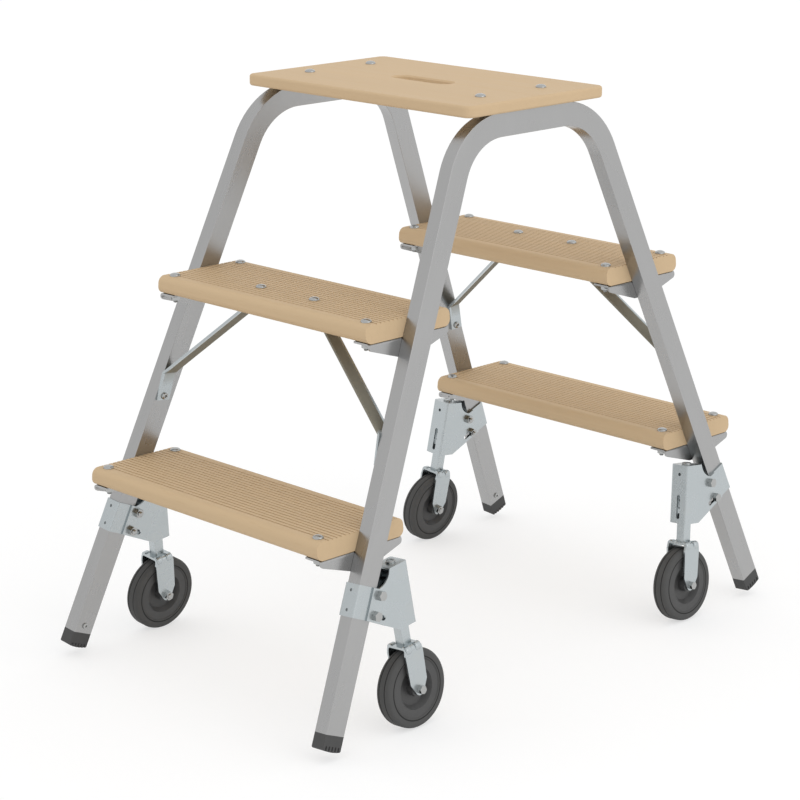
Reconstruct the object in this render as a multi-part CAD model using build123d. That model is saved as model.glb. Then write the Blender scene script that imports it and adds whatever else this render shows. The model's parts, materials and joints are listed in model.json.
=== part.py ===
from build123d import *
from math import acos, atan2, cos, degrees, hypot, radians, sin, tan
import os

# A two-sided step platform: two bent tube side frames, a top board, two treads on each side,
# and a sprung castor clamped to the inner side of each leg, so that it rolls until someone steps on it.
# Millimetres. The origin is on the floor at the centre, X runs along the treads, Y from front to back.

# Heights of the standing surfaces above the floor
first_step = 258.0
step_rise = 240.0
platform_height = 740.0

# Side frame, a rectangular tube bent to an upside-down U in a plane that leans inwards
tube_thickness = 20.0
tube_depth = 30.0
tube_wall = 2.0
tube_edge_radius = 0.6
splay_deg = 5.0
frame_half_spread = 243.4
leg_half_spread = 412.4
top_half_spread = 114.7
bend_inside_radius = 70.0
tube_end_height = 30.6

# Foot cap, plugged into the tube's end
cap_length = 18.6
cap_plug_length = 25.0
cap_plug_clearance = 0.1
cap_corner_radius = 3.0
sole_bulge = 1.5
flute_height = 5.5
flute_depth = 1.2
flute_width = 2.0
flute_pitch = 5.2
flute_count = 5

# Top board
board_length = 400.0
board_width = 250.0
board_thickness = 15.0
board_corner_radius = 11.0
board_edge_radius = 3.5
hand_slot_length = 100.0
hand_slot_width = 26.0
hand_slot_edge = 2.0
board_seat_gap = 0.02

# Treads
tread_depth = 142.0
tread_thickness = 23.0
tread_edge_radius = 9.0
tread_set_out = 14.3
groove_pitch = 7.0
groove_width = 1.6
groove_depth = 1.0
groove_field = 106.0

# Brackets that carry the treads and the board
bracket_sheet = 2.5
bracket_flange = 26.0
bracket_bend_radius = 4.0
bracket_length = 134.0
bracket_end_depth = 8.0
bracket_mid_depth = 23.8
bracket_mid_flat = 34.0
bracket_corner_radius = 5.5
board_bracket_depth = 11.0

# Braces, flat strips bent from the upper treads to the legs
brace_width = 20.0
brace_sheet = 3.0
brace_screw_x = 48.9
brace_screw_set_out = 21.5
brace_bend_x = 66.0
brace_tab_end = 11.0
brace_foot_z = 335.0
brace_foot_set_out = 3.5
brace_foot_end = 6.5
brace_foot_rise = 31.0
brace_fold_tilt_deg = 7.0
brace_bend_radius = 3.0

# Castor: wheel and axle
wheel_radius = 50.0
wheel_width = 21.6
tyre_inside_radius = 37.0
tyre_seat_gap = 0.02
tyre_side_inset = 1.2
shoulder_radius = 5.0
tread_groove_width = 1.6
tread_groove_depth = 1.6
tread_groove_offset = 4.6
rim_half_width = 9.6
rim_inside_radius = 27.0
web_half_width = 2.4
dish_radius = 22.0
hub_radius = 10.0
hub_half_length = 12.9
axle_radius = 4.0
axle_clearance = 0.05
axle_inward = 119.8
axle_down = 88.0

# Castor: fork
fork_sheet = 2.5
fork_outside_width = 32.0
fork_crown_top = 58.0
fork_crown_depth = 26.0
fork_bend_radius = 5.0
fork_boss_radius = 5.8
fork_boss_width = 9.5
fork_boss_rounding = 2.2
fork_boss_offset = 8.2
fork_boss_inset = 4.0
fork_leg_top_width = 30.0
fork_leg_low_width = 28.0
fork_leg_taper_height = 10.0
fork_tip_radius = 7.5

# Castor: stem and sprung housing, measured up the stem from the axle
castor_angle_deg = 30.0
stem_side = 14.0
stem_wall = 1.5
stem_edge_radius = 1.5
stem_top = 96.0
housing_sheet = 2.0
housing_bend_radius = 2.6
housing_bottom = 84.0
housing_top = 164.0
housing_depth = 28.0
housing_front_reach = 15.5
guide_height = 87.0
guide_clearance = 0.1
slot_low = 90.0
slot_high = 123.0
slot_width = 5.0
peep_hole_height = 151.0
peep_hole_radius = 2.2
housing_lap = 9.0
rod_radius = 4.0
rod_top = 166.0
spring_coil_radius = 7.4
spring_wire_radius = 1.1
spring_turns = 6

# Castor: clamp round the leg
clamp_sheet = 2.0
clamp_height = 40.0
clamp_reach = 13.0
clamp_hole_radius = 1.9
clamp_hole_spacing = 24.0
cutout_sag = 3.4
bolt_inward = 19.5
bolt_spacing = 25.0
bolt_hole_radius = 3.2
bolt_slot_length = 20.0

# Worked out from the sizes above
splay = radians(splay_deg)
board_bottom = platform_height - board_thickness
tube_half = tube_thickness / 2
tube_top_rise = (tube_half - tube_edge_radius) * sin(splay) + tube_edge_radius * (1 - cos(splay))
frame_top = (board_bottom - board_seat_gap - tube_top_rise) / cos(splay)
run_height = frame_top - tube_depth / 2
leg_lean = atan2(leg_half_spread - top_half_spread, run_height)
leg_lean_deg = degrees(leg_lean)
stem_lean = radians(castor_angle_deg) - leg_lean
bend_radius = bend_inside_radius + tube_depth / 2
tread_flat_half = wheel_width / 2 - shoulder_radius
shoulder_low = tread_flat_half * sin(splay) + (wheel_radius - shoulder_radius) * cos(splay) + shoulder_radius
axle_height = shoulder_low / cos(splay)
clamp_axis_height = axle_height + axle_inward * sin(leg_lean) + axle_down * cos(leg_lean)
fork_inside = fork_outside_width / 2 - fork_sheet
housing_half = tube_half + clamp_sheet + housing_sheet

# side: +1 right, -1 left; end: +1 back, -1 front
CORNERS = (
    ("front_left", -1, -1),
    ("front_right", 1, -1),
    ("back_left", -1, 1),
    ("back_right", 1, 1),
)


def placed(shape, side, end):
    """Put a piece of the right back leg, drawn in the upright frame plane, at one corner."""
    turned = shape if end * side > 0 else Rot(0, 0, 180) * shape
    leaned = Pos(frame_half_spread, 0, 0) * Rot(0, -splay_deg, 0) * turned
    return leaned if side > 0 else Rot(0, 0, 180) * leaned


def corner_copy(shape, side, end):
    """Put a piece of the right back corner, drawn where it stands, at one corner."""
    turned = shape if end * side > 0 else mirror(shape, about=Plane.YZ)
    return turned if end > 0 else Rot(0, 0, 180) * turned


def frame_inside_x(z):
    """X of the right frame's inner face at a height."""
    return frame_half_spread - tube_half / cos(splay) - tan(splay) * z


def leg_axis_y(height):
    return leg_half_spread - tan(leg_lean) * height


def tread_y(top):
    """Y of the middle of a back tread with its top at a height."""
    return leg_axis_y(top / cos(splay)) + tread_set_out


def on_leg(inward, down):
    """Frame-plane point: inward from the leg's axis and down along it from the clamp's middle."""
    y = leg_axis_y(clamp_axis_height) - inward * cos(leg_lean) + down * sin(leg_lean)
    z = clamp_axis_height - inward * sin(leg_lean) - down * cos(leg_lean)
    return (y, z)


def on_stem(out, up):
    """Frame-plane point: outward from the stem's axis and up along it from the axle."""
    axle_y, _ = on_leg(axle_inward, axle_down)
    y = axle_y + out * cos(stem_lean) + up * sin(stem_lean)
    z = axle_height - out * sin(stem_lean) + up * cos(stem_lean)
    return (y, z)


def slab(face_yz, x_from, x_to):
    """Extrude an outline drawn in the YZ plane between two X values."""
    return Pos(x_from, 0, 0) * extrude(face_yz, amount=x_to - x_from, dir=(1, 0, 0))


def yz_polygon(points):
    return make_face(Plane.YZ * Polyline(*points, close=True))


def stem_frame(shape):
    """Put a piece drawn round an upright stem, with the axle at the origin, onto the leaning stem."""
    y, z = on_stem(0, 0)
    return Pos(0, y, z) * Rot(-degrees(stem_lean), 0, 0) * shape


def leg_frame(shape):
    """Put a piece drawn round an upright leg, with its middle at the origin, onto the leaning leg."""
    y, z = on_leg(0, 0)
    return Pos(0, y, z) * Rot(leg_lean_deg, 0, 0) * shape


def tube_section(inset):
    corner = max(tube_edge_radius - inset, 0.5)
    return RectangleRounded(tube_thickness - 2 * inset, tube_depth - 2 * inset, corner)


def side_frame():
    foot_y = leg_axis_y(tube_end_height)
    corner_y = leg_axis_y(run_height)
    path = FilletPolyline(
        (0, -foot_y, tube_end_height),
        (0, -corner_y, run_height),
        (0, corner_y, run_height),
        (0, foot_y, tube_end_height),
        radius=bend_radius,
    )
    start = Plane(origin=path @ 0, x_dir=(1, 0, 0), z_dir=path % 0)
    outside = sweep(start * tube_section(0), path=path)
    inside = sweep(start * tube_section(tube_wall), path=path)
    return outside - inside


def foot_cap(flute_side):
    """Drawn upright with the tube's end at zero, then leaned to the leg; flutes on one wide face."""
    half_depth = tube_depth / 2
    low = -cap_length - sole_bulge
    rim = Polyline((half_depth, -cap_length), (half_depth, 0), (-half_depth, 0), (-half_depth, -cap_length))
    sole = ThreePointArc((-half_depth, -cap_length), (0, low), (half_depth, -cap_length))
    outline = make_face(rim + sole)
    outline = fillet(outline.vertices().group_by(Axis.Y)[0], cap_corner_radius)
    body = extrude(tube_section(0), amount=2 * low, dir=(0, 0, 1))
    body = body & extrude(Plane.YZ * outline, amount=tube_half, both=True)
    for index in range(flute_count):
        y = (index - (flute_count - 1) / 2) * flute_pitch
        body -= Pos(flute_side * tube_half, y, low) * Box(2 * flute_depth, flute_width, 2 * flute_height)
    plug = tube_section(tube_wall + cap_plug_clearance)
    body += extrude(plug, amount=cap_plug_length)
    foot_y = leg_axis_y(tube_end_height)
    return Pos(0, foot_y, tube_end_height) * Rot(leg_lean_deg, 0, 0) * body


def top_board():
    plan = RectangleRounded(board_length, board_width, board_corner_radius)
    board = Pos(0, 0, board_bottom) * extrude(plan, amount=board_thickness)
    rims = board.faces().filter_by(Axis.Z).edges()
    board = fillet(rims, board_edge_radius)
    slot = SlotOverall(hand_slot_length, hand_slot_width)
    board -= Pos(0, 0, board_bottom) * extrude(slot, amount=board_thickness)
    slot_edges = [e for e in board.faces().filter_by(Axis.Z).edges()
                  if abs(e.center().Y) <= hand_slot_width and abs(e.center().X) <= hand_slot_length]
    return chamfer(slot_edges, hand_slot_edge)


def tread(y_middle, top):
    """A tread of the back side, cut at both ends to lie against the legs' inner faces."""
    middle = Pos(0, y_middle, top - tread_thickness / 2)
    section = Plane.YZ * RectangleRounded(tread_depth, tread_thickness, tread_edge_radius)
    reach = frame_half_spread
    board = extrude(section, amount=reach, both=True)
    count = int(groove_field / groove_pitch) + 1
    for index in range(count):
        y = (index - (count - 1) / 2) * groove_pitch
        board -= Pos(0, y, tread_thickness / 2) * Box(2 * reach, groove_width, 2 * groove_depth)
    board = middle * board
    for side in (1, -1):
        inner = Plane(
            origin=(side * frame_inside_x(top), y_middle, top),
            z_dir=(side * cos(splay), 0, sin(splay)),
        )
        board = split(board, bisect_by=inner, keep=Keep.BOTTOM)
    return board


def angle_section(top, depth, flange):
    """Angle on the right frame's inner face, in XZ: a level flange bent into a web that leans with the frame."""
    web = bracket_sheet / cos(splay)
    low = top - depth
    under = top - bracket_sheet
    bend_outside = (frame_inside_x(top), top)
    bend_inside = (frame_inside_x(under) - web, under)
    points = (
        bend_outside,
        (frame_inside_x(top) - flange, top),
        (frame_inside_x(top) - flange, under),
        bend_inside,
        (frame_inside_x(low) - web, low),
        (frame_inside_x(low), low),
    )
    section = make_face(Polyline(*points, close=True))
    section = fillet(section.vertices().sort_by_distance(bend_outside)[0], bracket_bend_radius)
    section = fillet(section.vertices().sort_by_distance(bend_inside)[0], bracket_bend_radius - bracket_sheet)
    return Plane.XZ * section


def tread_bracket(y_middle, top):
    """Boat-shaped angle under one end of a tread."""
    half = bracket_length / 2
    flat = bracket_mid_flat / 2
    points = (
        (-half, top),
        (-half, top - bracket_end_depth),
        (-flat, top - bracket_mid_depth),
        (flat, top - bracket_mid_depth),
        (half, top - bracket_end_depth),
        (half, top),
    )
    outline = slab(yz_polygon(points), 0, frame_half_spread)
    rounded = [e for e in outline.edges().filter_by(Axis.X)
               if abs(e.center().Z - (top - bracket_end_depth)) < bracket_sheet]
    outline = Pos(0, y_middle, 0) * fillet(rounded, bracket_corner_radius)
    angle = extrude(angle_section(top, bracket_mid_depth, bracket_flange), amount=half, both=True)
    return (Pos(0, y_middle, 0) * angle) & outline


def board_bracket():
    """Straight angle between a frame's top run and the board."""
    half = bracket_length / 2
    return extrude(angle_section(board_bottom, board_bracket_depth, bracket_flange), amount=half, both=True)


def brace():
    """Folded strip of the right back: a tab under the upper tread, a strut and a tab on the leg."""
    upper_step = first_step + step_rise
    under = upper_step - tread_thickness
    screw_y = tread_y(upper_step) + brace_screw_set_out
    foot_y = leg_axis_y(brace_foot_z / cos(splay)) + brace_foot_set_out
    lean = atan2(foot_y - screw_y, (under - brace_foot_z) / cos(splay))
    leg_up = Vector(-sin(splay), 0, cos(splay))
    inward = Vector(-cos(splay), 0, -sin(splay))
    tab_up = leg_up * cos(lean) - Vector(0, sin(lean), 0)
    fold_tilt = radians(brace_fold_tilt_deg)
    fold_line = leg_up * sin(fold_tilt) + Vector(0, cos(fold_tilt), 0)
    half_across = fold_line * (brace_width / 2 / cos(lean - fold_tilt))
    foot = Vector(frame_inside_x(brace_foot_z), foot_y, brace_foot_z)
    foot_low = foot - tab_up * brace_foot_end
    fold = foot + tab_up * brace_foot_rise
    reach_x = brace_bend_x - fold.X
    reach_z = under - fold.Z
    det = tab_up.X * inward.Z - tab_up.Z * inward.X
    up_share = (reach_x * inward.Z - reach_z * inward.X) / det
    in_share = (tab_up.X * reach_z - tab_up.Z * reach_x) / det
    strut = tab_up * up_share + inward * in_share

    def plate(points, direction):
        return extrude(make_face(Polyline(*points, close=True)), amount=brace_sheet, dir=direction)

    low_ends = (fold - half_across, fold + half_across)
    high_ends = [end + strut * ((under - end.Z) / strut.Z) for end in low_ends]
    tab_x = brace_screw_x - brace_tab_end
    tab_ends = [Vector(tab_x, end.Y, under) for end in high_ends]
    strip = plate((foot_low - half_across, foot_low + half_across, low_ends[1], low_ends[0]), inward)
    strip += plate((*low_ends, high_ends[1], high_ends[0]), strut.cross(half_across).normalized())
    strip += plate((*high_ends, tab_ends[1], tab_ends[0]), (0, 0, -1))
    folds = [strip.edges().sort_by_distance((ends[0] + ends[1]) / 2)[0] for ends in (low_ends, high_ends)]
    return fillet(folds, brace_bend_radius)


def bolt_holes():
    """Cutter for the bolts beside the leg: a round hole above and a slot running inward below."""
    across = 4 * housing_half
    round_hole = extrude(Plane.YZ * Circle(bolt_hole_radius), amount=across, both=True)
    slot = Plane.YZ * SlotOverall(bolt_slot_length, 2 * bolt_hole_radius)
    slot = extrude(slot, amount=across, both=True)
    slot_middle = bolt_inward + bolt_slot_length / 2 - bolt_hole_radius
    upper = Pos(0, -bolt_inward, bolt_spacing / 2) * round_hole
    return upper + Pos(0, -slot_middle, -bolt_spacing / 2) * slot


def clamp():
    """U strap round the outer side of the leg, its walls reaching in past the leg to the bolts."""
    def strap_outline(half_width, back, corner):
        depth = back + tube_depth / 2 + clamp_reach
        blank = Pos(0, back - depth / 2) * Rectangle(2 * half_width, depth)
        return fillet(blank.vertices().group_by(Axis.Y)[-1], corner)

    back = tube_depth / 2 + clamp_sheet
    outer = strap_outline(tube_half + clamp_sheet, back, tube_edge_radius + clamp_sheet)
    inner = strap_outline(tube_half, tube_depth / 2, tube_edge_radius / 2)
    strap = extrude(outer - inner, amount=clamp_height / 2, both=True)
    for end in (1, -1):
        hole = Rot(90, 0, 0) * Cylinder(clamp_hole_radius, 2 * clamp_sheet)
        strap -= Pos(0, back, end * clamp_hole_spacing / 2) * hole
    return leg_frame(strap - bolt_holes())


def housing():
    """Folded sheet box round the spring, its side plates lapping over the clamp."""
    half_depth = housing_depth / 2
    lap_inward = tube_depth / 2 - housing_lap
    half_height = clamp_height / 2
    shelf = on_leg(tube_depth / 2, -half_height)
    lap_low = on_leg(lap_inward, half_height)
    sheet_low = on_stem(half_depth, housing_bottom)
    start = on_stem(housing_front_reach, housing_top)
    sag_y = (start[0] + shelf[0]) / 2 - cutout_sag
    sag_z = (start[1] + shelf[1]) / 2 - cutout_sag
    edge = Wire([
        Line(on_stem(-half_depth, housing_bottom), on_stem(-half_depth, housing_top)),
        Line(on_stem(-half_depth, housing_top), start),
        ThreePointArc(start, (sag_y, sag_z), shelf),
        Line(shelf, on_leg(lap_inward, -half_height)),
        Line(on_leg(lap_inward, -half_height), lap_low),
        Line(lap_low, sheet_low),
        Line(sheet_low, on_stem(-half_depth, housing_bottom)),
    ])
    plates = slab(make_face(Plane.YZ * edge), -housing_half, housing_half)
    fold = on_stem(-half_depth, (housing_bottom + housing_top) / 2)
    folds = [plates.edges().sort_by_distance((x, *fold))[0] for x in (housing_half, -housing_half)]
    plates = fillet(folds, housing_bend_radius)
    inner_half = housing_half - housing_sheet
    room_depth = 4 * housing_depth
    room_height = housing_top - housing_bottom
    room = Box(2 * inner_half, room_depth, 2 * room_height)
    room = fillet(room.edges().filter_by(Axis.Z).group_by(Axis.Y)[0], housing_bend_radius - housing_sheet)
    room_place = Pos(0, room_depth / 2 - half_depth + housing_sheet, housing_top - housing_sheet - room_height)
    plates -= stem_frame(room_place * room)
    guide_depth = housing_depth - 2 * housing_sheet
    guide = Box(2 * inner_half, guide_depth, housing_sheet)
    hole = stem_side + 2 * guide_clearance
    guide -= Box(hole, hole, 2 * housing_sheet)
    plates += stem_frame(Pos(0, 0, guide_height) * guide)
    slot_length = slot_high - slot_low
    slot = Plane.XZ * Rot(0, 0, 90) * SlotOverall(slot_length, slot_width)
    slot = Pos(0, -half_depth, (slot_low + slot_high) / 2) * extrude(slot, amount=2 * housing_sheet, both=True)
    peep = Pos(0, -half_depth, peep_hole_height) * Rot(90, 0, 0) * Cylinder(peep_hole_radius, 4 * housing_sheet)
    rod_hole = Pos(0, 0, housing_top) * Cylinder(rod_radius + guide_clearance, 4 * housing_sheet)
    return plates - stem_frame(slot) - stem_frame(peep) - stem_frame(rod_hole) - leg_frame(bolt_holes())


def stem():
    """Square tube on the fork's crown, with the rod that guides the spring."""
    length = stem_top - fork_crown_top
    bore = stem_side - 2 * stem_wall
    tube = extrude(RectangleRounded(stem_side, stem_side, stem_edge_radius), amount=length)
    tube -= extrude(Rectangle(bore, bore), amount=length - stem_wall)
    tube += Pos(0, 0, length) * extrude(Circle(rod_radius), amount=rod_top - stem_top)
    return stem_frame(Pos(0, 0, fork_crown_top) * tube)


def spring():
    """Wire wound round the rod from the stem's end to the top plate, six-sided to keep its faces few."""
    low = stem_top + spring_wire_radius
    length = housing_top - housing_sheet - spring_wire_radius - low
    coil = Helix(pitch=length / spring_turns, height=length, radius=spring_coil_radius)
    wire = Plane(origin=coil @ 0, z_dir=coil % 0) * RegularPolygon(spring_wire_radius, 6)
    return stem_frame(Pos(0, 0, low) * sweep(wire, path=coil, is_frenet=True))


def fork():
    """Sheet pressed to an upside-down U over the wheel, with stamped bosses at the bends and pointed legs."""
    half = fork_outside_width / 2
    low = -2 * fork_tip_radius
    blank = Pos(0, (fork_crown_top + low) / 2) * Rectangle(fork_outside_width, fork_crown_top - low)
    outer = fillet(blank.vertices().group_by(Axis.Y)[-1], fork_bend_radius)
    room_top = fork_crown_top - fork_sheet
    room = Pos(0, (room_top + low) / 2) * Rectangle(2 * fork_inside, room_top - low)
    inner = fillet(room.vertices().group_by(Axis.Y)[-1], fork_bend_radius - fork_sheet)
    bent = extrude(Plane.XZ * (outer - inner), amount=fork_leg_top_width, both=True)
    low_half = fork_leg_low_width / 2
    reach = hypot(low_half, fork_leg_taper_height)
    turn = atan2(fork_leg_taper_height, low_half) - acos(fork_tip_radius / reach)
    touch_y = fork_tip_radius * cos(turn)
    touch_z = fork_tip_radius * sin(turn)
    right_side = (
        (fork_crown_depth / 2, fork_crown_top),
        (fork_leg_top_width / 2, fork_crown_top - 2 * fork_bend_radius),
        (low_half, fork_leg_taper_height),
        (touch_y, touch_z),
    )
    left_side = [(-y, z) for y, z in reversed(right_side)]
    outline = slab(yz_polygon((*right_side, *left_side)), -half, half)
    outline += slab(Plane.YZ * Circle(fork_tip_radius), -half, half)
    bent = bent & outline
    wheel_room = extrude(Plane.XZ * inner, amount=fork_leg_top_width, both=True)
    boss = Cylinder(fork_boss_radius, fork_boss_width)
    boss = Rot(90, 0, 0) * fillet(boss.edges().filter_by(GeomType.CIRCLE), fork_boss_rounding)
    hollow = Rot(90, 0, 0) * Cylinder(fork_boss_radius - fork_sheet, fork_boss_width - 2 * fork_sheet)
    for side in (1, -1):
        for end in (1, -1):
            place = Pos(
                side * (half - fork_boss_inset),
                end * fork_boss_offset,
                fork_crown_top - fork_boss_inset,
            )
            bent += place * boss - wheel_room
            bent -= place * hollow
    bent -= Rot(0, 90, 0) * Cylinder(axle_radius + axle_clearance, 2 * fork_outside_width)
    return stem_frame(bent)


def axle():
    return stem_frame(Rot(0, 90, 0) * Cylinder(axle_radius, fork_outside_width))


def wheel_section(half_section):
    """Section with two like halves, given as (along the axle, radius) points of one half."""
    other_half = [(-x, r) for x, r in reversed(half_section)]
    return make_face(Polyline(*half_section, *other_half, close=True))


def spun(section):
    """Turn a section round the axle."""
    return stem_frame(revolve(section, axis=Axis.X))


def wheel_core():
    """Plastic wheel: hub, dished web and rim."""
    half_section = (
        (hub_half_length, axle_radius + axle_clearance),
        (hub_half_length, hub_radius),
        (web_half_width, hub_radius),
        (web_half_width, dish_radius),
        (rim_half_width, rim_inside_radius),
        (rim_half_width, tyre_inside_radius - tyre_seat_gap),
    )
    return spun(wheel_section(half_section))


def tyre():
    """Solid rubber tyre with round shoulders and two grooves round its tread."""
    half = wheel_width / 2
    groove_out = tread_groove_offset + tread_groove_width / 2
    groove_in = tread_groove_offset - tread_groove_width / 2
    groove_floor = wheel_radius - tread_groove_depth
    half_section = (
        (half - tyre_side_inset, tyre_inside_radius),
        (half, tyre_inside_radius + tyre_side_inset),
        (half, wheel_radius),
        (groove_out, wheel_radius),
        (groove_out, groove_floor),
        (groove_in, groove_floor),
        (groove_in, wheel_radius),
    )
    section = wheel_section(half_section)
    crown = section.vertices().group_by(Axis.Y)[-1].sort_by(Axis.X)
    return spun(fillet([crown[0], crown[-1]], shoulder_radius))


def export(name, shape):
    export_step(shape, f"parts/{name}.step")


os.makedirs("parts", exist_ok=True)

right_frame = side_frame()
export("side_frame_right", placed(right_frame, 1, 1))
export("side_frame_left", placed(right_frame, -1, 1))
export("top_board", top_board())
export("board_bracket_right", corner_copy(board_bracket(), 1, 1))
export("board_bracket_left", corner_copy(board_bracket(), -1, 1))

# level, middle of the tread from the platform's centre, height of its top
TREADS = (
    ("lower", tread_y(first_step), first_step),
    ("upper", tread_y(first_step + step_rise), first_step + step_rise),
)
for level, y_middle, top in TREADS:
    plank = tread(y_middle, top)
    export(f"tread_{level}_back", plank)
    export(f"tread_{level}_front", Rot(0, 0, 180) * plank)
    bracket = tread_bracket(y_middle, top - tread_thickness)
    for corner, side, end in CORNERS:
        export(f"bracket_{level}_{corner}", corner_copy(bracket, side, end))

back_right_brace = brace()
for corner, side, end in CORNERS:
    export(f"brace_{corner}", corner_copy(back_right_brace, side, end))

LEG_PIECES = (
    ("castor_clamp", clamp()),
    ("castor_housing", housing()),
    ("castor_stem", stem()),
    ("castor_spring", spring()),
    ("castor_fork", fork()),
    ("castor_axle", axle()),
    ("wheel_core", wheel_core()),
    ("wheel_tyre", tyre()),
)
for corner, side, end in CORNERS:
    export(f"foot_cap_{corner}", placed(foot_cap(-side * end), side, end))
for piece, shape in LEG_PIECES:
    for corner, side, end in CORNERS:
        export(f"{piece}_{corner}", placed(shape, side, end))
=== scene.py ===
"""Mobile step platform: finishes, fasteners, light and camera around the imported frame."""

import json
import math

import bpy
from mathutils import Matrix, Vector


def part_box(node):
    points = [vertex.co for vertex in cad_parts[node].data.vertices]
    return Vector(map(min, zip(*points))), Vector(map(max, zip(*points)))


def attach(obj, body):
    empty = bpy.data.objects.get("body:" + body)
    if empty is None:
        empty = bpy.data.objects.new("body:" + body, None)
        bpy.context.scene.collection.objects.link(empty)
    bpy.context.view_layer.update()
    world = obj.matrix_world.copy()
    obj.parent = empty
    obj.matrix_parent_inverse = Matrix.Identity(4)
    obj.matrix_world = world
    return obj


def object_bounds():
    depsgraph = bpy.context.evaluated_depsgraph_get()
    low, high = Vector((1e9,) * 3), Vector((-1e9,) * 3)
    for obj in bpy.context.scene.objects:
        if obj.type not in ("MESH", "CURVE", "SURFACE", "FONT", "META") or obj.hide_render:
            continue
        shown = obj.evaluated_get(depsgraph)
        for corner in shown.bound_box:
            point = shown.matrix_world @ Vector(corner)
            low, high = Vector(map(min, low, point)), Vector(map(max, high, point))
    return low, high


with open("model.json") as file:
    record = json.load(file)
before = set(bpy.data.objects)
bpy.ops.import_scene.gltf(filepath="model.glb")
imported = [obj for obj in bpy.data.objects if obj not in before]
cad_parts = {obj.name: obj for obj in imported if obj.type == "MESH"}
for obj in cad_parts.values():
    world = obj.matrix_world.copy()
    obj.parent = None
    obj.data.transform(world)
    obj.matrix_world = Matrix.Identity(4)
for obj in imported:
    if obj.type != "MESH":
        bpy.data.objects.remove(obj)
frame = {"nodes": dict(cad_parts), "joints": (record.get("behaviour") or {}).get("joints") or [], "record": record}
frame_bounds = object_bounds()

# Driving dimensions of the frame, in metres and radians
SPLAY = math.radians(5.0)
LEG_LEAN = math.radians(22.69)
STEM_LEAN = math.radians(7.31)
FRAME_HALF_SPREAD = 0.2434
LEG_HALF_SPREAD = 0.4124
TUBE_HALF = 0.010
TUBE_END_HEIGHT = 0.0306
FLANGE_SHEET = 0.0025
BRACE_SHEET = 0.003

# Screw places: along X, and out from the middle of each board along Y
BOARD_SCREW_X = 0.1529
BOARD_SCREW_Y = 0.0553
TREAD_SCREW_X = {"upper": 0.1755, "lower": 0.19675}
TREAD_SCREW_Y = 0.0556
BRACE_SCREW_X = 0.0489
BRACE_SCREW_Y = 0.0215
FOOT_SCREW_RISE = 0.010

# Braces: foot on the leg, range of the fold, middle line of the strut, range where its edge turns bright with a
# painted highlight
BRACE_FOOT_Z = 0.335
BRACE_FOOT_Y = 0.0035
BRACE_FOLD_X = (0.1965, 0.2000)
BRACE_FLOOR_Y = 0.3710
BRACE_STRUT_SLOPE = 0.2835
BRACE_PAINTED_HIGHLIGHT = (0.0066, 0.0074)

# Castor places, from the axle: inward square to the leg and down along it, out along the axle, up the stem
CLAMP_BOLT_INWARD = -0.1003
CLAMP_BOLT_DOWN = (-0.0755, -0.1005)
CLAMP_OUTSIDE = 0.014
FORK_OUTSIDE = 0.016
STEM_END_UP = 0.164
AXLE_HEAD_TURN = 0.3
AXLE_NUT_TURN = 0.8

# Wheels: joint line on the tyre's side, and the grooves of its tread, both drawn dark as painted shadow
SEAM_RADIUS = 0.0400
TYRE_OUTSIDE = 0.0108
TYRE_RADIUS = 0.050
GROOVE_OFFSET = 0.0046
GROOVE_SINK = 0.0001

# Flutes on the outer faces of the foot caps, drawn as dark bars of painted shade
SOLE_DROP = 0.0186
FLUTE_COUNT = 5
FLUTE_PITCH = 0.0052

# Camera of the photograph
CAMERA_PLACE = (2.18959, -2.22660, 1.18504)
CAMERA_PITCH = math.radians(90.0 - 15.59)
CAMERA_TURN = math.radians(45.06)
CAMERA_LENS = 109.9
CAMERA_SENSOR = 36.0

ENDS = {"front": -1, "back": 1}
SIDES = {"left": -1, "right": 1}
CORNERS = [(end, side) for end in ENDS for side in SIDES]
UP = Vector((0, 0, 1))
DOWN = Vector((0, 0, -1))

# Usual range of a noise's values
NOISE_LOW = 0.3
NOISE_HIGH = 0.7


# Node building
def new_material(name):
    """Empty material with its shader, and the shader's node tree."""
    material = bpy.data.materials.new(name)
    material.use_nodes = True
    tree = material.node_tree
    return material, tree, tree.nodes["Principled BSDF"]


def add_node(tree, kind, **values):
    """Add a node; values name its inputs, spaces written as underscores."""
    node = tree.nodes.new(kind)
    for key, value in values.items():
        node.inputs[key.replace("_", " ")].default_value = value
    return node


def object_place(tree):
    """Place on the object, in metres."""
    return tree.nodes.new("ShaderNodeTexCoord").outputs["Object"]


def split(tree, place):
    """X, Y and Z of a place."""
    node = tree.nodes.new("ShaderNodeSeparateXYZ")
    tree.links.new(place, node.inputs["Vector"])
    return [node.outputs[axis] for axis in "XYZ"]


def maths(tree, operation, *values):
    """Result of a math node over outputs and numbers."""
    node = tree.nodes.new("ShaderNodeMath")
    node.operation = operation
    for index, value in enumerate(values):
        if isinstance(value, float):
            node.inputs[index].default_value = value
        else:
            tree.links.new(value, node.inputs[index])
    return node.outputs[0]


def noise(tree, place, stretch, detail=3.0, roughness=0.55):
    """Noise whose scale differs along X, Y and Z, per metre."""
    mapping = add_node(tree, "ShaderNodeMapping", Scale=stretch)
    texture = add_node(tree, "ShaderNodeTexNoise", Scale=1.0, Detail=detail, Roughness=roughness)
    tree.links.new(place, mapping.inputs["Vector"])
    tree.links.new(mapping.outputs["Vector"], texture.inputs["Vector"])
    return texture.outputs["Fac"]


def ramp(tree, factor, stops):
    """Colour ramp over (position, colour) stops."""
    node = tree.nodes.new("ShaderNodeValToRGB")
    elements = node.color_ramp.elements
    while len(elements) < len(stops):
        elements.new(0.5)
    for element, (position, colour) in zip(elements, stops):
        element.position = position
        element.color = (*colour, 1.0)
    tree.links.new(factor, node.inputs["Fac"])
    return node.outputs["Color"]


def tones(tree, factor, low, high):
    """Colours from low to high over the range of a noise."""
    return ramp(tree, factor, ((NOISE_LOW, low), (NOISE_HIGH, high)))


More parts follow.
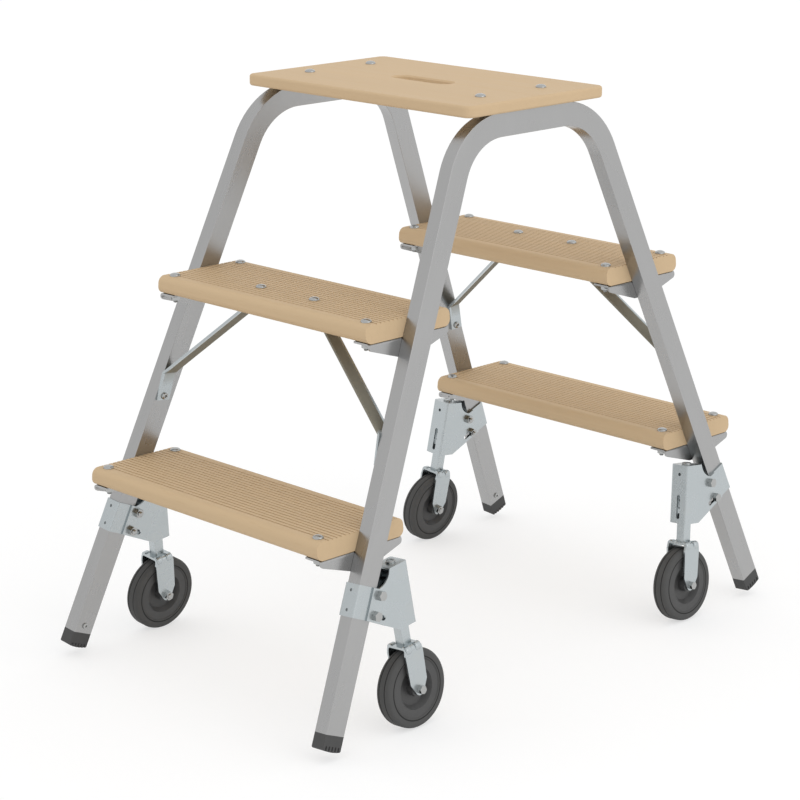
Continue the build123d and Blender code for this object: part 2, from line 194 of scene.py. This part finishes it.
def mapped(tree, value, source, target=(0.0, 1.0)):
    """Map a value from one range onto another, held at both ends."""
    node = add_node(tree, "ShaderNodeMapRange", From_Min=source[0], From_Max=source[1])
    node.inputs["To Min"].default_value = target[0]
    node.inputs["To Max"].default_value = target[1]
    tree.links.new(value, node.inputs["Value"])
    return node.outputs["Result"]


def span(tree, factor, low, high):
    """Values from low to high over the range of a noise."""
    return mapped(tree, factor, (NOISE_LOW, NOISE_HIGH), (low, high))


def mixed(tree, factor, first, second, blend="MIX"):
    """Mix two colour outputs by a number."""
    node = tree.nodes.new("ShaderNodeMix")
    node.data_type = "RGBA"
    node.blend_type = blend
    node.inputs[0].default_value = factor
    tree.links.new(first, node.inputs[6])
    tree.links.new(second, node.inputs[7])
    return node.outputs[2]


def bump(tree, shader, height, strength, distance):
    """Raise the surface by a height output."""
    node = add_node(tree, "ShaderNodeBump", Strength=strength, Distance=distance)
    tree.links.new(height, node.inputs["Height"])
    tree.links.new(node.outputs["Normal"], shader.inputs["Normal"])


def shade(colour, factor):
    """A colour made lighter or darker."""
    return tuple(min(1.0, channel * factor) for channel in colour)


# Materials: noise scales are per metre along X, Y and Z
WHITE = (1.0, 1.0, 1.0)
ZINC = (0.478, 0.516, 0.530)
FINE_GRAIN = (900.0, 900.0, 900.0)
WOOD_FIBRES = (4.0, 150.0, 150.0)
WOOD_CLOUDS = (2.0, 11.0, 11.0)
WOOD_FLECKS = (40.0, 420.0, 420.0)
WOOD_CLOUD_SHARE = 0.45
WOOD_ROUGHNESS = (0.52, 0.66)
WOOD_SHEEN = 0.14
FLECK_TONE = (0.975, 0.962, 0.945)
# Painted shade in crevices: how far the occlusion looks, and the darkest colour it paints
CREVICE_REACH = 0.003
CREVICE_SHADE_COLOUR = (0.78, 0.73, 0.67)
DRAWN_LINES = (520.0, 520.0, 5.0)
DRAWN_PATCHES = (24.0, 24.0, 9.0)
ZINC_CLOUDS = (34.0, 34.0, 34.0)
ZINC_WARMTH = (1.015, 1.0, 0.985)
STRUT_CLOUDS = (40.0, 40.0, 40.0)
STRUT_CLOUD_TONE = (0.96, 0.96, 0.96)
STRUT_ROUGHNESS = 0.6
STRUT_METALLIC = 0.04
STRUT_SHEEN = 0.06
MOULDED_PATCHES = (30.0, 30.0, 30.0)
MOULDED_SHEEN = 0.35


def wood(name, colour, contrast):
    """Lacquered beech with its grain along X: fibres, slow tone changes, short flecks, and painted shade that
    darkens its crevices.
    """
    material, tree, shader = new_material(name)
    place = object_place(tree)
    fibres = noise(tree, place, WOOD_FIBRES, detail=4.0)
    clouds = noise(tree, place, WOOD_CLOUDS, detail=2.0)
    flecks = noise(tree, place, WOOD_FLECKS, detail=1.0)
    light = shade(colour, 1.0 + contrast)
    dark = shade(colour, 1.0 - contrast)
    fibre_tone = ramp(tree, fibres, ((0.32, dark), (0.5, colour), (0.68, light)))
    cloud_tone = tones(tree, clouds, shade(dark, 0.98), shade(light, 1.02))
    tone = mixed(tree, WOOD_CLOUD_SHARE, fibre_tone, cloud_tone)
    fleck_tone = ramp(tree, flecks, ((0.62, WHITE), (0.74, FLECK_TONE)))
    tone = mixed(tree, 1.0, tone, fleck_tone, "MULTIPLY")
    # Painted shade: ambient occlusion darkens the colour in grooves, corners and other crevices.
    crevices = add_node(tree, "ShaderNodeAmbientOcclusion", Distance=CREVICE_REACH)
    crevices.only_local = True
    painted_crevice_shade = ramp(tree, crevices.outputs["AO"], ((0.35, CREVICE_SHADE_COLOUR), (0.80, WHITE)))
    tone = mixed(tree, 1.0, tone, painted_crevice_shade, "MULTIPLY")
    tree.links.new(tone, shader.inputs["Base Color"])
    tree.links.new(span(tree, fibres, *WOOD_ROUGHNESS), shader.inputs["Roughness"])
    shader.inputs["Specular IOR Level"].default_value = WOOD_SHEEN
    bump(tree, shader, fibres, strength=0.05, distance=0.0003)
    return material


def drawn_metal(name, colour, rough, contrast):
    """Aluminium with faint lines along the legs, as drawn through a die."""
    material, tree, shader = new_material(name)
    x, y, z = split(tree, object_place(tree))
    folded = tree.nodes.new("ShaderNodeCombineXYZ")
    for axis, value in (("X", x), ("Y", maths(tree, "ABSOLUTE", y)), ("Z", z)):
        tree.links.new(value, folded.inputs[axis])
    leaning = add_node(tree, "ShaderNodeMapping", Rotation=(-LEG_LEAN, 0.0, 0.0))
    tree.links.new(folded.outputs["Vector"], leaning.inputs["Vector"])
    place = leaning.outputs["Vector"]
    lines = noise(tree, place, DRAWN_LINES, detail=2.0)
    patches = noise(tree, place, DRAWN_PATCHES)
    grain = noise(tree, place, FINE_GRAIN, detail=1.0)
    line_tone = tones(tree, lines, shade(colour, 1.0 - contrast), shade(colour, 1.0 + contrast))
    patch_tone = tones(tree, patches, shade(colour, 0.97), shade(colour, 1.03))
    tree.links.new(mixed(tree, 0.5, line_tone, patch_tone), shader.inputs["Base Color"])
    tree.links.new(span(tree, patches, rough - 0.04, rough + 0.05), shader.inputs["Roughness"])
    shader.inputs["Metallic"].default_value = 1.0
    bump(tree, shader, grain, strength=0.008, distance=0.0002)
    return material


def plated(name, colour, rough):
    """Bright zinc plating on pressed steel: cloudy tone and a fine rolled grain."""
    material, tree, shader = new_material(name)
    place = object_place(tree)
    clouds = noise(tree, place, ZINC_CLOUDS)
    grain = noise(tree, place, FINE_GRAIN, detail=2.0)
    warm = tuple(channel * factor for channel, factor in zip(colour, ZINC_WARMTH))
    tone = ramp(tree, clouds, ((NOISE_LOW, shade(colour, 0.98)), (0.55, colour), (0.75, warm)))
    tree.links.new(tone, shader.inputs["Base Color"])
    tree.links.new(span(tree, clouds, rough - 0.03, rough + 0.03), shader.inputs["Roughness"])
    shader.inputs["Metallic"].default_value = 1.0
    bump(tree, shader, grain, strength=0.004, distance=0.0001)
    return material


def strip_metal(name, strut, bright, rough):
    """Plated strip: zinc on the tabs; on the struts a dull tone that is painted reflection and shade, and a
    painted highlight along one edge.
    """
    material, tree, shader = new_material(name)
    place = object_place(tree)
    x, y, z = split(tree, place)
    near_leg = mapped(tree, maths(tree, "ABSOLUTE", x), BRACE_FOLD_X)
    middle = maths(tree, "MULTIPLY_ADD", z, -BRACE_STRUT_SLOPE, BRACE_FLOOR_Y)
    off_middle = maths(tree, "SUBTRACT", y, maths(tree, "MULTIPLY", maths(tree, "SIGN", y), middle))
    across = maths(tree, "MULTIPLY", maths(tree, "SIGN", x), off_middle)
    # Painted highlight: a bright band along one edge of each strut.
    painted_highlight_band = mapped(tree, across, BRACE_PAINTED_HIGHLIGHT)
    brightness = maths(tree, "MAXIMUM", near_leg, painted_highlight_band)
    # The strut colour is a painted reflection of the wood and of the shade under the treads.
    tone = ramp(tree, brightness, ((0.0, strut), (1.0, bright)))
    cloud_tone = tones(tree, noise(tree, place, STRUT_CLOUDS), STRUT_CLOUD_TONE, WHITE)
    roughness = maths(tree, "MULTIPLY_ADD", brightness, rough - STRUT_ROUGHNESS, STRUT_ROUGHNESS)
    metallic = maths(tree, "MULTIPLY_ADD", brightness, 1.0 - STRUT_METALLIC, STRUT_METALLIC)
    tree.links.new(mixed(tree, 1.0, tone, cloud_tone, "MULTIPLY"), shader.inputs["Base Color"])
    tree.links.new(roughness, shader.inputs["Roughness"])
    tree.links.new(metallic, shader.inputs["Metallic"])
    shader.inputs["Specular IOR Level"].default_value = STRUT_SHEEN
    return material


def moulded(name, colour, rough, grain_scale, grain_strength):
    """Moulded plastic or rubber: a fine matt grain and faint dusty patches."""
    material, tree, shader = new_material(name)
    place = object_place(tree)
    grain = noise(tree, place, (grain_scale, grain_scale, grain_scale), detail=2.0)
    patches = noise(tree, place, MOULDED_PATCHES)
    tone = tones(tree, patches, shade(colour, 0.92), shade(colour, 1.10))
    tree.links.new(tone, shader.inputs["Base Color"])
    tree.links.new(span(tree, patches, rough - 0.05, rough + 0.06), shader.inputs["Roughness"])
    shader.inputs["Specular IOR Level"].default_value = MOULDED_SHEEN
    bump(tree, shader, grain, grain_strength, distance=0.0003)
    return material


LOOKS = {
    "aluminium": drawn_metal("aluminium", (0.402, 0.402, 0.401), rough=0.28, contrast=0.02),
    "top_board_wood": wood("top_board_wood", (0.630, 0.464, 0.286), contrast=0.020),
    "tread_wood": wood("tread_wood", (0.628, 0.464, 0.286), contrast=0.024),
    "zinc_plated_steel": plated("zinc_plated_steel", ZINC, rough=0.27),
    "foot_plastic": moulded(
        "foot_plastic", (0.066, 0.066, 0.066), rough=0.62, grain_scale=900.0, grain_strength=0.10
    ),
    "wheel_plastic": moulded(
        "wheel_plastic", (0.072, 0.072, 0.072), rough=0.38, grain_scale=1100.0, grain_strength=0.05
    ),
    "tyre_rubber": moulded(
        "tyre_rubber", (0.078, 0.078, 0.077), rough=0.72, grain_scale=800.0, grain_strength=0.12
    ),
}
OWN_LOOKS = {
    # Brace struts: dull brownish painted reflection and shade, with a painted highlight along one edge; zinc on
    # the tabs.
    "brace_": strip_metal("brace_zinc", (0.252, 0.236, 0.190), ZINC, rough=0.24),
    "castor_spring_": plated("spring_steel", (0.060, 0.062, 0.062), rough=0.35),
}
STEEL = plated("fastener_steel", (0.420, 0.425, 0.420), rough=0.18)
# Near-black colour laid as painted shadow: the tyres' joint lines and tread grooves, and the flutes of the foot
# caps.
PAINTED_SHADOW_LOOK = moulded(
    "painted_shadow", (0.018, 0.018, 0.018), rough=0.80, grain_scale=900.0, grain_strength=0.05
)

for subpart in frame["record"]["subparts"]:
    name = subpart["node"]
    look = LOOKS[subpart["material_slot"]]
    for start, own_look in OWN_LOOKS.items():
        if name.startswith(start):
            look = own_look
    node = frame["nodes"][name]
    node.data.materials.clear()
    node.data.materials.append(look)

# Forms of the small pieces
SMOOTH_ANGLE = math.radians(32.0)
HEAD_SINK = 0.0002
DOME_STEPS = 7
DOME_TIP = 0.0004
FINE_RING = 96


def ring_mesh(rings, hoop=False):
    """Vertices and faces through rings of equally many points, capped at both ends or closed to a hoop."""
    count = len(rings[0])
    vertices = [point for ring in rings for point in ring]
    faces = []
    for row in range(len(rings) if hoop else len(rings) - 1):
        low = row * count
        high = (row + 1) % len(rings) * count
        for step in range(count):
            after = (step + 1) % count
            faces.append((low + step, low + after, high + after, high + step))
    if not hoop:
        faces.append(tuple(reversed(range(count))))
        faces.append(tuple(range((len(rings) - 1) * count, len(rings) * count)))
    return vertices, faces


def round_form(profile, count=36, hoop=False):
    """Turned form through (radius, height) points."""
    turns = [2.0 * math.pi * step / count for step in range(count)]
    rings = [[(r * math.cos(a), r * math.sin(a), z) for a in turns] for r, z in profile]
    return ring_mesh(rings, hoop)


def hex_form(across_flats, height, base=0.0, count=48):
    """Hexagon with both ends' corners turned off, standing on the given height."""
    flat = across_flats / 2.0
    chamfer = 0.55
    turns = [2.0 * math.pi * step / count for step in range(count)]
    reach = [flat / math.cos((a + math.pi / 6.0) % (math.pi / 3.0) - math.pi / 6.0) for a in turns]
    drop = [(r - flat) * chamfer for r in reach]
    rim = 0.94 * flat
    rings = (
        [(rim * math.cos(a), rim * math.sin(a), base) for a in turns],
        [(r * math.cos(a), r * math.sin(a), base + d) for a, r, d in zip(turns, reach, drop)],
        [(r * math.cos(a), r * math.sin(a), base + height - d) for a, r, d in zip(turns, reach, drop)],
        [(rim * math.cos(a), rim * math.sin(a), base + height) for a in turns],
    )
    return ring_mesh(rings)


def washer_form(outside, thickness):
    """Flat washer with a broken edge."""
    edge = 0.2 * thickness
    return round_form((
        (outside - edge, 0.0),
        (outside, edge),
        (outside, thickness - edge),
        (outside - edge, thickness),
    ))


def thread_form(radius, start, length, pitch):
    """Bolt end with thread ridges and a turned-off tip."""
    root = 0.88 * radius
    profile = [(0.86 * radius, start)]
    for turn in range(int(length / pitch)):
        base = start + turn * pitch
        profile.append((root, base + 0.1 * pitch))
        profile.append((radius, base + 0.5 * pitch))
        profile.append((root, base + 0.9 * pitch))
    profile.append((0.75 * radius, start + length + 0.2 * pitch))
    return round_form(profile)


def dome_form(radius, height, rim):
    """Low mushroom head: a short rim and a flattened dome."""
    profile = [(radius, -HEAD_SINK), (radius, rim)]
    for step in range(1, DOME_STEPS + 1):
        angle = 0.5 * math.pi * step / DOME_STEPS
        profile.append((max(radius * math.cos(angle), DOME_TIP), rim + (height - rim) * math.sin(angle)))
    return round_form(profile)


def pan_form(radius, height, recess):
    """Round head with a rounded edge and a round recess in its middle."""
    return round_form((
        (radius, -HEAD_SINK),
        (radius, 0.35 * height),
        (0.93 * radius, 0.70 * height),
        (0.76 * radius, 0.93 * height),
        (1.25 * recess, height),
        (recess, 0.93 * height),
        (0.92 * recess, 0.35 * height),
        (0.10 * recess, 0.30 * height),
    ))


def collar_form(inside, outside, height):
    """Flat ring with a broken outer edge."""
    edge = 0.3 * height
    profile = (
        (outside, 0.0),
        (outside, height - edge),
        (outside - edge, height),
        (inside, height),
        (inside, 0.0),
    )
    return round_form(profile, hoop=True)


def seam_form(radius, half_width, height):
    """Thin half-round bead that draws the joint line on the side of a tyre, dark as a painted shadow line."""
    profile = (
        (radius + half_width, 0.0),
        (radius + 0.7 * half_width, 0.7 * height),
        (radius, height),
        (radius - 0.7 * half_width, 0.7 * height),
        (radius - half_width, 0.0),
    )
    return round_form(profile, FINE_RING, hoop=True)


def groove_form(radius, half_width, depth):
    """Thin band that lines the mouth of a tread groove with painted shade."""
    profile = (
        (radius - depth, half_width),
        (radius - depth, -half_width),
        (radius, -half_width),
        (radius, half_width),
    )
    return round_form(profile, FINE_RING, hoop=True)


def flute_shade_form(width, length, height):
    """Flat bar along Y, from its foot to a narrower upper end: the dark painted shade of a flute."""
    half = width / 2.0
    shoulder = 0.8 * length
    tip = 0.4 * half
    outline = ((-half, 0.0), (half, 0.0), (half, shoulder), (tip, length), (-tip, length), (-half, shoulder))
    return ring_mesh([[(x, y, z) for x, y in outline] for z in (-height, height)])


def place_matrix(point, axis, turn):
    """Stand a form on a point with its height along an axis."""
    facing = axis.to_track_quat("Z", "Y").to_matrix().to_4x4()
    return Matrix.Translation(point) @ facing @ Matrix.Rotation(turn, 4, "Z")


def fasten(name, forms, places, look, body="platform"):
    """One piece holding the same forms at every (point, axis, turn) place, riding on a body."""
    vertices = []
    faces = []
    for point, axis, turn in places:
        matrix = place_matrix(point, axis, turn)
        for form_vertices, form_faces in forms:
            start = len(vertices)
            vertices.extend(matrix @ Vector(vertex) for vertex in form_vertices)
            faces.extend(tuple(start + index for index in face) for face in form_faces)
    mesh = bpy.data.meshes.new(name)
    mesh.from_pydata(vertices, [], faces)
    mesh.shade_smooth()
    mesh.set_sharp_from_angle(angle=SMOOTH_ANGLE)
    mesh.materials.append(look)
    piece = bpy.data.objects.new(name, mesh)
    bpy.context.scene.collection.objects.link(piece)
    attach(piece, body)


def fasten_steel(name, forms, places):
    """A piece of fastener steel on the platform."""
    fasten(name, forms, places, STEEL)


# Places on the splayed frames and on the castors
WHEEL_CENTRES = {joint["child"]: Vector(joint["pos_m"]) for joint in frame["joints"]}
SCATTER_STEP = 2.399


def frame_axes(side):
    """Outward normal of a side frame and its slope upward."""
    across = SIDES[side]
    outward = Vector((across * math.cos(SPLAY), 0.0, math.sin(SPLAY)))
    upward = Vector((-across * math.sin(SPLAY), 0.0, math.cos(SPLAY)))
    return outward, upward


def on_frame(end, side, out, spread, height):
    """Point of a side frame: out from its middle plane, spread from the centre, height along its slope."""
    outward, upward = frame_axes(side)
    start = Vector((SIDES[side] * FRAME_HALF_SPREAD, ENDS[end] * spread, 0.0))
    return start + outward * out + upward * height


def leg_spread(height):
    """Distance of a leg's axis from the centre at a height along the frame."""
    return LEG_HALF_SPREAD - height * math.tan(LEG_LEAN)


def on_leg(end, side, out, across, up):
    """Point of a leg: out from the frame's middle plane, across the leg, up along it from the tube's end."""
    spread = leg_spread(TUBE_END_HEIGHT) + across * math.cos(LEG_LEAN) - up * math.sin(LEG_LEAN)
    height = TUBE_END_HEIGHT + across * math.sin(LEG_LEAN) + up * math.cos(LEG_LEAN)
    return on_frame(end, side, out, spread, height)


def on_castor(end, side, out, spread=0.0, height=0.0):
    """Point of a castor, from its axle: out along the axle, spread outward along Y, height up the frame."""
    outward, upward = frame_axes(side)
    centre = WHEEL_CENTRES[f"wheel_{end}_{side}"]
    return centre + outward * out + Vector((0.0, ENDS[end] * spread, 0.0)) + upward * height


def clamp_point(end, side, out, inward, down):
    """Point of a castor's clamp: inward square to the leg and down along it, from the axle."""
    spread = -inward * math.cos(LEG_LEAN) + down * math.sin(LEG_LEAN)
    height = -inward * math.sin(LEG_LEAN) - down * math.cos(LEG_LEAN)
    return on_castor(end, side, out, spread, height)


def scattered(pairs):
    """Give each (point, axis) pair a fixed turn of its own, so that the fasteners don't all line up."""
    return [
        (point, axis, index * SCATTER_STEP % (2.0 * math.pi))
        for index, (point, axis) in enumerate(pairs)
    ]


# Screws through the boards
HEAD = dome_form(radius=0.0068, height=0.0040, rim=0.0008)
BOARD_NUT = (
    washer_form(outside=0.006, thickness=0.0012),
    hex_form(across_flats=0.010, height=0.0048, base=0.0012),
    thread_form(radius=0.003, start=0.006, length=0.003, pitch=0.001),
)


def corner_spots(x, y, middle):
    """Four (x, y, sheet) spots over the flanges under a board."""
    return [
        (across * x, middle + along * y, FLANGE_SHEET)
        for across in (-1, 1)
        for along in (-1, 1)
    ]


def board_fasteners(screws, nuts, spots, top, under):
    """Screw heads on a board, and nuts below the sheet at each spot."""
    heads = [(Vector((x, y, top)), UP) for x, y, _ in spots]
    seats = [(Vector((x, y, under - sheet)), DOWN) for x, y, sheet in spots]
    fasten_steel(screws, [HEAD], scattered(heads))
    fasten_steel(nuts, BOARD_NUT, scattered(seats))


low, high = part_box("top_board")
board_spots = corner_spots(BOARD_SCREW_X, BOARD_SCREW_Y, 0.0)
board_fasteners("board_screws", "board_nuts", board_spots, high.z, low.z)
for level in ("lower", "upper"):
    for end in ENDS:
        low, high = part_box(f"tread_{level}_{end}")
        middle = (low.y + high.y) / 2.0
        spots = corner_spots(TREAD_SCREW_X[level], TREAD_SCREW_Y, middle)
        if level == "upper":
            brace_y = middle + ENDS[end] * BRACE_SCREW_Y
            spots += [(across * BRACE_SCREW_X, brace_y, BRACE_SHEET) for across in (-1, 1)]
        board_fasteners(f"tread_screws_{level}_{end}", f"tread_nuts_{level}_{end}", spots, high.z, low.z)

# Screws on the legs, bolts of the castors, and dark pieces of painted shadow: lines on the wheels and flutes on
# the foot caps
FOOT_SCREW = pan_form(radius=0.0041, height=0.0024, recess=0.0017)
BRACE_SCREW = pan_form(radius=0.0047, height=0.0030, recess=0.0020)
CLAMP_HEAD = hex_form(across_flats=0.011, height=0.0056)
CLAMP_NUT = (
    hex_form(across_flats=0.011, height=0.0052),
    thread_form(radius=0.0032, start=0.0052, length=0.0030, pitch=0.001),
)
AXLE_HEAD = hex_form(across_flats=0.0096, height=0.0062)
AXLE_NUT = (
    hex_form(across_flats=0.011, height=0.0058),
    thread_form(radius=0.0038, start=0.0058, length=0.0015, pitch=0.0010),
)
STEM_COLLAR = collar_form(inside=0.00405, outside=0.0062, height=0.0024)
SEAM = seam_form(SEAM_RADIUS, half_width=0.0008, height=0.0002)
GROOVE_SHADE = groove_form(TYRE_RADIUS - GROOVE_SINK, half_width=0.0008, depth=0.0006)
FLUTE_SHADE = flute_shade_form(width=0.0020, length=0.0055, height=0.0002)


def leg_screws(end, side):
    """Screws on the inner face of a leg: in its foot cap and in the foot of its brace."""
    inward = -frame_axes(side)[0]
    foot_height = TUBE_END_HEIGHT + FOOT_SCREW_RISE * math.cos(LEG_LEAN)
    foot_spot = on_frame(end, side, -TUBE_HALF, leg_spread(foot_height), foot_height)
    fasten_steel(f"foot_screw_{end}_{side}", [FOOT_SCREW], [(foot_spot, inward, 0.0)])
    brace_height = BRACE_FOOT_Z / math.cos(SPLAY)
    brace_spread = leg_spread(brace_height) + BRACE_FOOT_Y
    brace_spot = on_frame(end, side, -TUBE_HALF - BRACE_SHEET, brace_spread, brace_height)
    fasten_steel(f"brace_foot_screw_{end}_{side}", [BRACE_SCREW], [(brace_spot, inward, 0.0)])


def clamp_bolts(end, side):
    """Bolts through a castor's clamp, heads outside and nuts inside."""
    outward = frame_axes(side)[0]
    for name, forms, face in (("clamp_bolts", [CLAMP_HEAD], 1), ("clamp_nuts", CLAMP_NUT, -1)):
        points = [
            clamp_point(end, side, face * CLAMP_OUTSIDE, CLAMP_BOLT_INWARD, down)
            for down in CLAMP_BOLT_DOWN
        ]
        fasten_steel(f"{name}_{end}_{side}", forms, scattered([(point, outward * face) for point in points]))


def axle_ends(end, side):
    """Head and nut of a castor's axle."""
    outward = frame_axes(side)[0]
    head = (on_castor(end, side, FORK_OUTSIDE), outward, AXLE_HEAD_TURN)
    nut = (on_castor(end, side, -FORK_OUTSIDE), -outward, AXLE_NUT_TURN)
    fasten_steel(f"axle_head_{end}_{side}", [AXLE_HEAD], [head])
    fasten_steel(f"axle_nut_{end}_{side}", AXLE_NUT, [nut])


def stem_collar(end, side):
    """Collar on top of a castor's stem."""
    upward = frame_axes(side)[1]
    axis = Vector((0.0, ENDS[end] * math.sin(STEM_LEAN), 0.0)) + upward * math.cos(STEM_LEAN)
    spot = on_castor(end, side, 0.0) + axis * STEM_END_UP
    fasten_steel(f"stem_collar_{end}_{side}", [STEM_COLLAR], [(spot, axis, 0.0)])


def wheel_lines(end, side):
    """Joint lines on both sides of a wheel, and the linings of its tread grooves, both dark painted shadow."""
    outward = frame_axes(side)[0]
    body = f"wheel_{end}_{side}"
    seams = [(on_castor(end, side, face * TYRE_OUTSIDE), outward * face, 0.0) for face in (1, -1)]
    grooves = [(on_castor(end, side, face * GROOVE_OFFSET), outward, 0.0) for face in (1, -1)]
    fasten(f"wheel_seams_{end}_{side}", [SEAM], seams, PAINTED_SHADOW_LOOK, body)
    fasten(f"tread_groove_shade_{end}_{side}", [GROOVE_SHADE], grooves, PAINTED_SHADOW_LOOK, body)


def foot_flute_shade(end, side):
    """Row of dark bars across the outer face of a foot cap, along the leg from its sole, painted as the shade of
    flutes.
    """
    outward = frame_axes(side)[0]
    turn = ENDS[end] * SIDES[side] * LEG_LEAN
    offsets = [(step - FLUTE_COUNT // 2) * FLUTE_PITCH for step in range(FLUTE_COUNT)]
    places = [(on_leg(end, side, TUBE_HALF, across, -SOLE_DROP), outward, turn) for across in offsets]
    fasten(f"foot_flute_shade_{end}_{side}", [FLUTE_SHADE], places, PAINTED_SHADOW_LOOK)


for end, side in CORNERS:
    leg_screws(end, side)
    clamp_bolts(end, side)
    axle_ends(end, side)
    stem_collar(end, side)
    wheel_lines(end, side)
    foot_flute_shade(end, side)

# Floor, light and camera
FLOOR_HALF = 9.0
FLOOR_WHITE = 0.80
FLOOR_SEEN = 0.45
FLOOR_GLOW = 0.58
WORLD_LEVEL = 0.96
WORLD_TILT = 0.05
WORLD_BRIGHT_SIDE = (0.7, 0.7, 0.0)
KEY_ENERGY = 8.0
KEY_PLACE = (2.6, 0.2, 1.5)
KEY_SIZE = 2.0


def seen_directly(tree):
    """Factor of one for rays that show the background: camera, glossy and transmission rays."""
    path = tree.nodes.new("ShaderNodeLightPath")
    seen = path.outputs["Is Camera Ray"]
    for ray in ("Is Glossy Ray", "Is Transmission Ray"):
        seen = maths(tree, "MAXIMUM", seen, path.outputs[ray])
    return seen


floor_mesh = bpy.data.meshes.new("floor")
floor_corners = [(x * FLOOR_HALF, y * FLOOR_HALF, 0.0) for x, y in ((-1, -1), (1, -1), (1, 1), (-1, 1))]
floor_mesh.from_pydata(floor_corners, [], [(0, 1, 2, 3)])
floor = bpy.data.objects.new("floor", floor_mesh)
floor.location.z = frame_bounds[0].z
bpy.context.scene.collection.objects.link(floor)
floor_look, floor_tree, floor_shader = new_material("floor_white")
floor_shader.inputs["Roughness"].default_value = 1.0
floor_shader.inputs["Specular IOR Level"].default_value = 0.0
floor_shader.inputs["Emission Color"].default_value = (*WHITE, 1.0)
floor_seen = seen_directly(floor_tree)
floor_tone = maths(floor_tree, "MULTIPLY_ADD", floor_seen, FLOOR_SEEN - FLOOR_WHITE, FLOOR_WHITE)
floor_glow = maths(floor_tree, "MULTIPLY", floor_seen, FLOOR_GLOW)
floor_tree.links.new(floor_tone, floor_shader.inputs["Base Color"])
floor_tree.links.new(floor_glow, floor_shader.inputs["Emission Strength"])
floor_mesh.materials.append(floor_look)

world = bpy.data.worlds.new("studio")
bpy.context.scene.world = world
world.use_nodes = True
sky = world.node_tree
background = sky.nodes["Background"]
background.inputs["Color"].default_value = (*WHITE, 1.0)
direction = sky.nodes.new("ShaderNodeVectorMath")
direction.operation = "DOT_PRODUCT"
direction.inputs[1].default_value = WORLD_BRIGHT_SIDE
sky.links.new(sky.nodes.new("ShaderNodeTexCoord").outputs["Generated"], direction.inputs[0])
studio_level = maths(sky, "MULTIPLY_ADD", direction.outputs["Value"], WORLD_TILT, WORLD_LEVEL)
camera_ray = sky.nodes.new("ShaderNodeLightPath").outputs["Is Camera Ray"]
sky.links.new(maths(sky, "MAXIMUM", studio_level, camera_ray), background.inputs["Strength"])

key_data = bpy.data.lights.new("key", "AREA")
key_data.energy = KEY_ENERGY
key_data.size = KEY_SIZE
key = bpy.data.objects.new("key", key_data)
key.location = KEY_PLACE
aim = Vector((0.0, 0.0, frame_bounds[1].z / 2.0)) - key.location
key.rotation_euler = aim.to_track_quat("-Z", "Y").to_euler()
bpy.context.scene.collection.objects.link(key)

camera_data = bpy.data.cameras.new("camera")
camera_data.lens = CAMERA_LENS
camera_data.sensor_width = CAMERA_SENSOR
camera = bpy.data.objects.new("camera", camera_data)
camera.location = CAMERA_PLACE
camera.rotation_euler = (CAMERA_PITCH, 0.0, CAMERA_TURN)
bpy.context.scene.collection.objects.link(camera)
bpy.context.scene.camera = camera
bpy.context.scene.view_settings.view_transform = "Standard"

bpy.context.view_layer.update()
